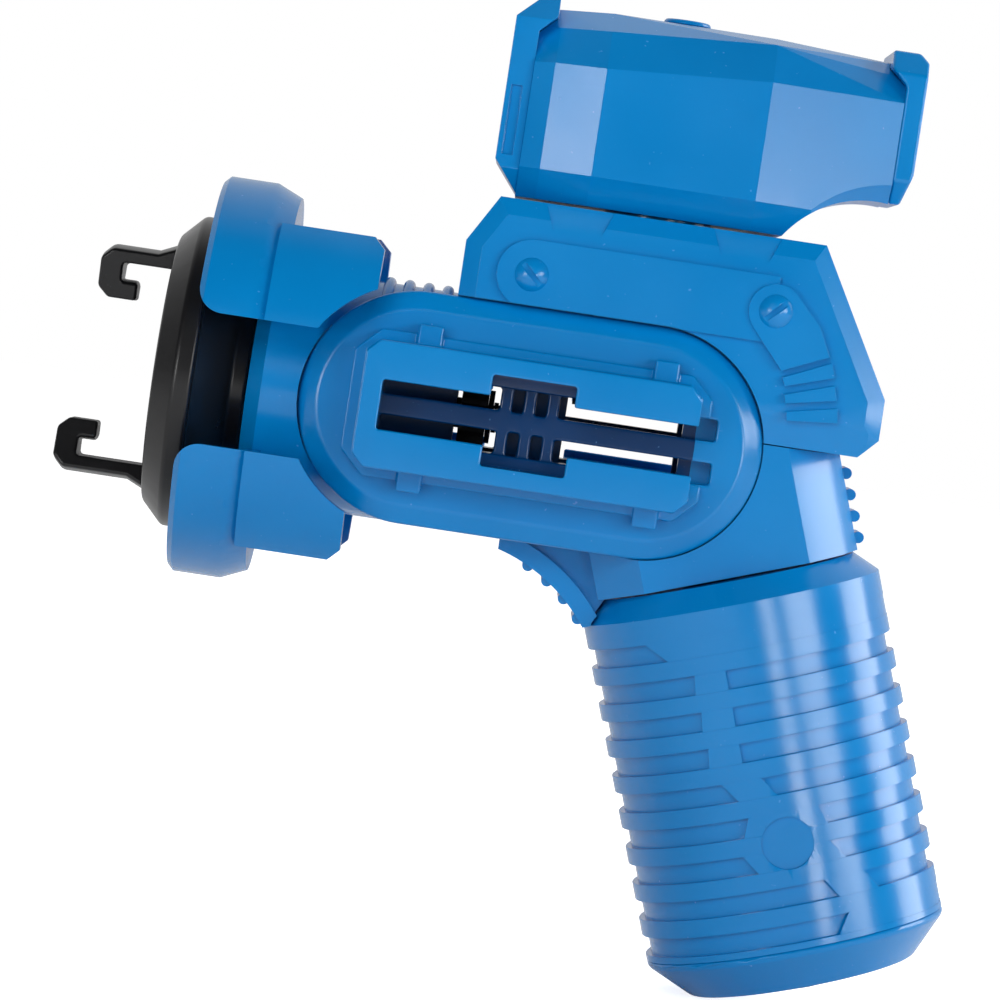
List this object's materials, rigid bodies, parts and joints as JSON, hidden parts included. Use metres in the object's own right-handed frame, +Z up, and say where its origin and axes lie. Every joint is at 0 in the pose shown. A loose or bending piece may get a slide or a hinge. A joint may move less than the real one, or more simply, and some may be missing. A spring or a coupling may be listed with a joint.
{
  "type": "spinning top launcher",
  "caption": "Pistol-grip launcher for spinning tops, with a hooked rotor at the front, side accessory rails, a turning handle and a swivelling winder case that spins the rotor.",
  "frame": {"origin": "on the rotor axis, at the flat front face of the rotor between the hooks", "axes": "+X back from the rotor along its axis, +Y from the left side of the body to the right side, +Z up towards the winder case"},
  "size_m": [0.1245, 0.0496, 0.1265],
  "materials": {
    "blue_plastic": "moulded, semi-gloss, fine scuffs",
    "black_plastic": "moulded, gloss",
    "steel": "plated",
    "brass": "turned",
    "gear_plastic": "moulded, matte"
  },
  "bodies": {
    "body": {"body_shell_left": "blue_plastic", "body_shell_right": "blue_plastic", "body_screws": "steel", "front_collar_upper": "blue_plastic", "front_collar_lower": "blue_plastic", "port_plate_left": "blue_plastic", "port_plate_right": "blue_plastic", "accessory_rail_left": "blue_plastic", "accessory_rail_right": "blue_plastic", "saddle_left": "blue_plastic", "saddle_right": "blue_plastic", "saddle_screws": "blue_plastic", "front_bush": "brass", "rear_bush": "brass", "lay_bushes": "brass", "drive_bush": "brass", "handle_post": "black_plastic", "handle_washer": "steel", "handle_screw": "steel"},
    "rotor": {"rotor": "black_plastic", "upper_hook": "black_plastic", "lower_hook": "black_plastic", "rotor_shaft": "steel", "rotor_gear": "gear_plastic", "shaft_clip": "steel"},
    "lay_gears": {"lay_shaft": "steel", "lay_gear": "gear_plastic", "crown_gear": "gear_plastic"},
    "drive": {"drive_shaft": "steel", "crown_pinion": "gear_plastic", "winder_pinion": "gear_plastic"},
    "winder_case": {"winder_lower_case": "blue_plastic", "winder_upper_case": "blue_plastic", "front_guide_plate": "blue_plastic", "rear_guide_plate": "blue_plastic", "pivot_cap": "blue_plastic", "winder_screws": "steel"},
    "handle": {"handle_shell": "blue_plastic", "handle_base_cap": "blue_plastic", "base_screws": "steel"}
  },
  "joints": [
    {"name": "rotor_spin", "type": "hinge", "parent": "body", "child": "rotor", "pos_m": [0, 0, 0], "axis": [1, 0, 0], "continuous": true},
    {"name": "lay_spin", "type": "hinge", "parent": "body", "child": "lay_gears", "pos_m": [0.045, 0, 0.011], "axis": [1, 0, 0], "continuous": true},
    {"name": "drive_spin", "type": "hinge", "parent": "body", "child": "drive", "pos_m": [0.0615, 0, 0.03], "axis": [0, 0, 1], "continuous": true},
    {"name": "winder_swivel", "type": "hinge", "parent": "body", "child": "winder_case", "pos_m": [0.0615, 0, 0.029], "axis": [0, 0, 1], "range_deg": [-90, 90]},
    {"name": "handle_twist", "type": "hinge", "parent": "body", "child": "handle", "pos_m": [0.0775, 0, -0.0159], "axis": [-0.3305, 0, 0.9438], "range_deg": [-90, 90]}
  ],
  "couplings": [
    {"joint": "lay_spin", "follows": "rotor_spin", "ratio": -0.83333},
    {"joint": "drive_spin", "follows": "rotor_spin", "ratio": -1.3333}
  ]
}
